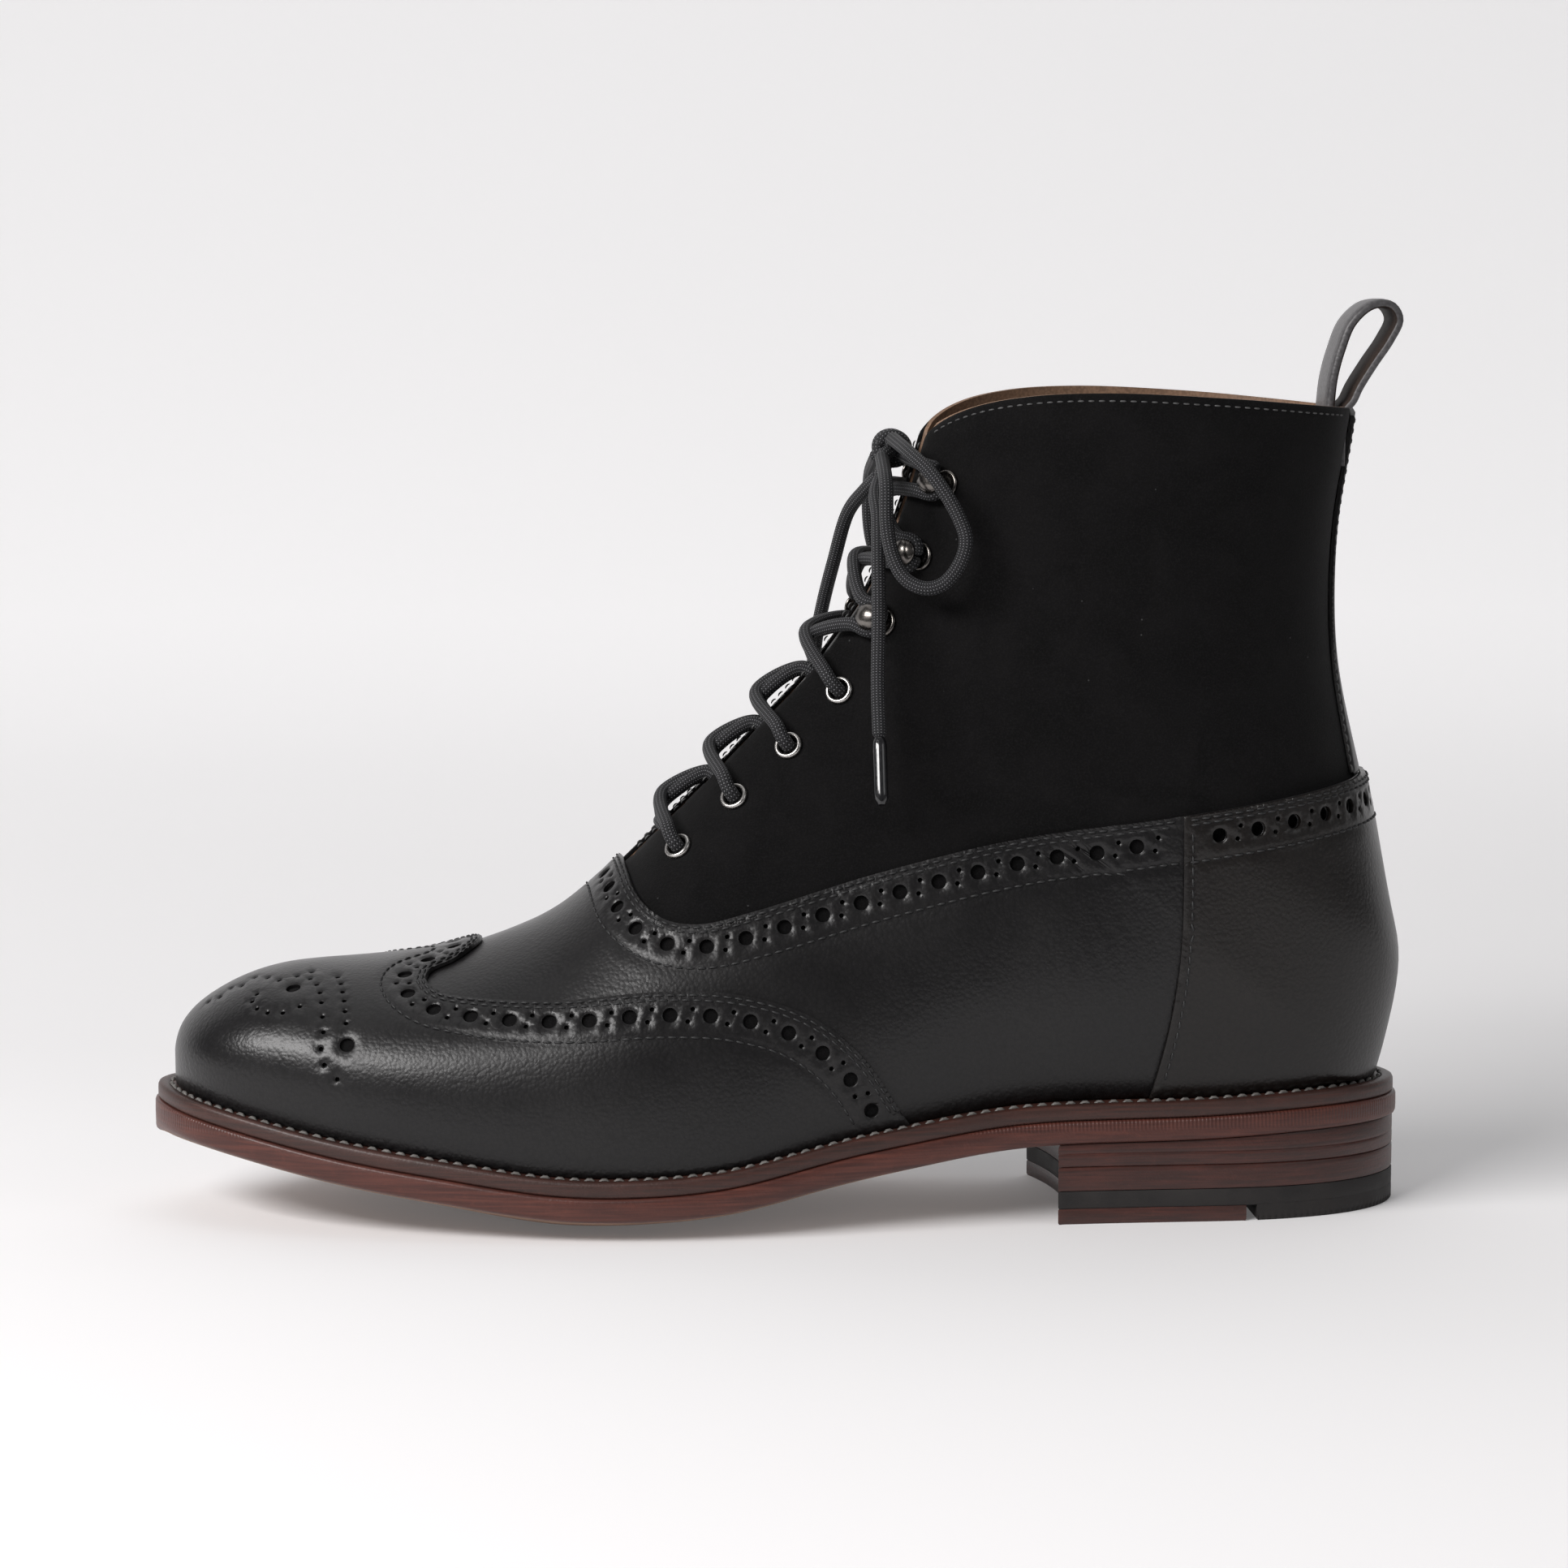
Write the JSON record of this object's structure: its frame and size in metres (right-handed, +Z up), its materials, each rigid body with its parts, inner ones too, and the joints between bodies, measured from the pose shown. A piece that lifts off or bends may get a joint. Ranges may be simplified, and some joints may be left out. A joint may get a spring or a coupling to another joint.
{
  "type": "brogue boot",
  "caption": "Left lace-up brogue boot with wing cap, suede shaft, eyelets, speed hooks, back pull loop, welted leather sole and stacked heel.",
  "frame": {"origin": "bottom centre of the bounding box, on the floor under the middle of the sole", "axes": "toe towards -X, heel towards +X, lateral side towards -Y, medial side towards +Y, +Z up"},
  "size_m": [0.3053, 0.1024, 0.221],
  "materials": {
    "leather": "smooth black calf leather with a soft sheen",
    "suede": "black suede, matt nap",
    "lining": "tan lining leather, matt",
    "insole": "tan insole leather, matt",
    "welt": "dark brown welt leather with pale stitching",
    "sole": "mahogany edge dressing, satin",
    "stack": "stacked leather lifts, mahogany dressing, satin",
    "rubber": "dark grey rubber, matt",
    "eyelet": "silver rolled eyelets, satin",
    "hook": "gunmetal speed hooks, polished",
    "lace": "charcoal round braided waxed lace with a pale fleck",
    "tip": "black lace tip, glossy"
  },
  "bodies": {
    "root": {"upper": "suede", "foot_leather": "leather", "wing_cap": "leather", "heel_counter": "leather", "back_strip": "leather", "pull_loop": "leather", "tongue": "leather", "insole": "insole", "welt": "welt", "outsole": "sole", "heel_lift_upper": "stack", "heel_lift_lower": "stack", "heel_top_piece": "rubber", "heel_top_strip": "stack", "eyelet_lateral_1": "eyelet", "eyelet_lateral_2": "eyelet", "eyelet_lateral_3": "eyelet", "eyelet_lateral_4": "eyelet", "eyelet_medial_1": "eyelet", "eyelet_medial_2": "eyelet", "eyelet_medial_3": "eyelet", "eyelet_medial_4": "eyelet", "hook_lateral_1": "hook", "hook_lateral_2": "hook", "hook_lateral_3": "hook", "hook_medial_1": "hook", "hook_medial_2": "hook", "hook_medial_3": "hook", "lace_crossing_1": "lace", "lace_crossing_2": "lace", "lace_crossing_3": "lace", "lace_crossing_4": "lace", "lace_crossing_5": "lace", "lace_crossing_6": "lace", "lace_knot": "lace", "lace_loop_lateral": "lace", "lace_loop_medial": "lace", "lace_end_lateral": "lace", "lace_end_medial": "lace", "lace_tip_lateral": "tip", "lace_tip_medial": "tip"}
  },
  "joints": []
}
